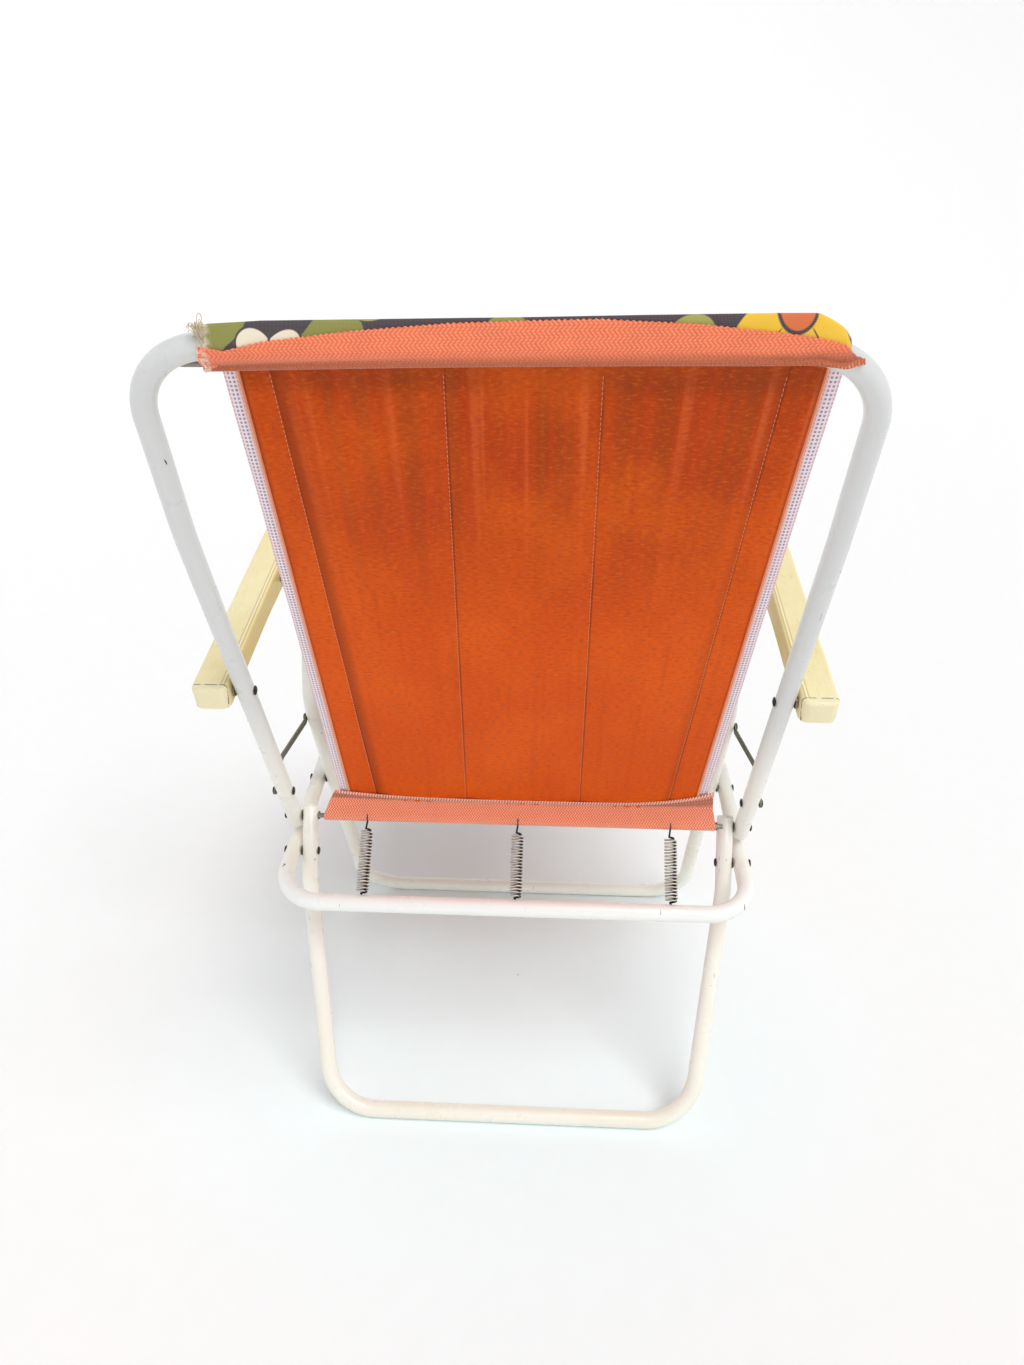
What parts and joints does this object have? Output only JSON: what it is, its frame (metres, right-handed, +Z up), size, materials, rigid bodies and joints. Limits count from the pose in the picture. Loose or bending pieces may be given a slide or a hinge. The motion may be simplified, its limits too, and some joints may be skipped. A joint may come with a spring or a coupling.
{
  "type": "folding lawn chair",
  "caption": "Folding lawn chair of bent white steel tube with a stitched cloth sling held by springs, plastic armrests and a coupled folding linkage.",
  "frame": {"origin": "on the floor, under the middle of the chair's outline", "axes": "+Z up, +X to the sitter's left, the sitter faces -Y and the back leans towards +Y"},
  "size_m": [0.6402, 0.6116, 0.9052],
  "materials": {
    "white_tube": "worn gloss paint",
    "armrest_plastic": "moulded, slightly weathered",
    "bare_steel": "weathered zinc",
    "dark_steel": "tarnished",
    "orange_cloth": "coated weave, stitched",
    "salmon_tape": "woven tape",
    "pale_webbing": "woven webbing"
  },
  "bodies": {
    "seat": {"seat_rear_loop": "white_tube", "seat_front_loop": "white_tube", "seat_panel": "orange_cloth", "seat_binding_left": "pale_webbing", "seat_binding_right": "pale_webbing", "hem_strip": "salmon_tape", "hem_rod": "bare_steel", "spring_left": "bare_steel", "spring_middle": "bare_steel", "spring_right": "bare_steel", "front_leg_rivet_left": "dark_steel", "front_leg_rivet_right": "dark_steel", "front_leg_washer_left": "bare_steel", "front_leg_washer_right": "bare_steel", "rear_leg_rivet_left": "dark_steel", "rear_leg_rivet_right": "dark_steel", "rear_leg_washer_left": "bare_steel", "rear_leg_washer_right": "bare_steel"},
    "front_leg": {"front_leg": "white_tube", "link_front_rivet_left": "dark_steel", "link_front_rivet_right": "dark_steel", "armrest_front_pin_left": "dark_steel", "armrest_front_pin_right": "dark_steel", "armrest_front_spacer_left": "bare_steel", "armrest_front_spacer_right": "bare_steel"},
    "rear_leg": {"rear_leg": "white_tube", "back_foot_rivet_left": "dark_steel", "back_foot_rivet_right": "dark_steel", "back_foot_washer_left": "bare_steel", "back_foot_washer_right": "bare_steel"},
    "back": {"back_frame": "white_tube", "top_sleeve": "salmon_tape", "top_rod": "bare_steel", "back_panel": "orange_cloth", "back_binding_left": "pale_webbing", "back_binding_right": "pale_webbing", "link_rear_rivet_left": "dark_steel", "link_rear_rivet_right": "dark_steel", "armrest_rear_rivet_left": "dark_steel", "armrest_rear_rivet_right": "dark_steel", "armrest_rear_washer_left": "bare_steel", "armrest_rear_washer_right": "bare_steel"},
    "armrests": {"armrest_left": "armrest_plastic", "armrest_right": "armrest_plastic", "armrest_front_stud_left": "dark_steel", "armrest_front_stud_right": "dark_steel"},
    "links": {"link_left": "bare_steel", "link_right": "bare_steel", "link_rear_stud_left": "dark_steel", "link_rear_stud_right": "dark_steel"}
  },
  "joints": [
    {"name": "fold", "type": "hinge", "parent": "seat", "child": "front_leg", "pos_m": [0, -0.05941, 0.289], "axis": [1, 0, 0], "range_deg": [-47.7, 0]},
    {"name": "rear_leg_fold", "type": "hinge", "parent": "seat", "child": "rear_leg", "pos_m": [0, 0.07698, 0.27721], "axis": [1, 0, 0], "range_deg": [-86, 0]},
    {"name": "back_fold", "type": "hinge", "parent": "rear_leg", "child": "back", "pos_m": [0, 0.05744, 0.31565], "axis": [1, 0, 0], "range_deg": [0, 38.3]},
    {"name": "armrest_fold", "type": "hinge", "parent": "back", "child": "armrests", "pos_m": [0, 0.14965, 0.54048], "axis": [1, 0, 0], "range_deg": [0, 31.5]},
    {"name": "link_fold", "type": "hinge", "parent": "front_leg", "child": "links", "pos_m": [0, -0.00818, 0.4139], "axis": [1, 0, 0], "range_deg": [0, 67.1]}
  ],
  "couplings": [
    {"joint": "rear_leg_fold", "follows": "fold", "ratio": 1.8},
    {"joint": "back_fold", "follows": "fold", "ratio": -0.8},
    {"joint": "armrest_fold", "follows": "fold", "ratio": -0.657},
    {"joint": "link_fold", "follows": "fold", "ratio": -1.403}
  ]
}
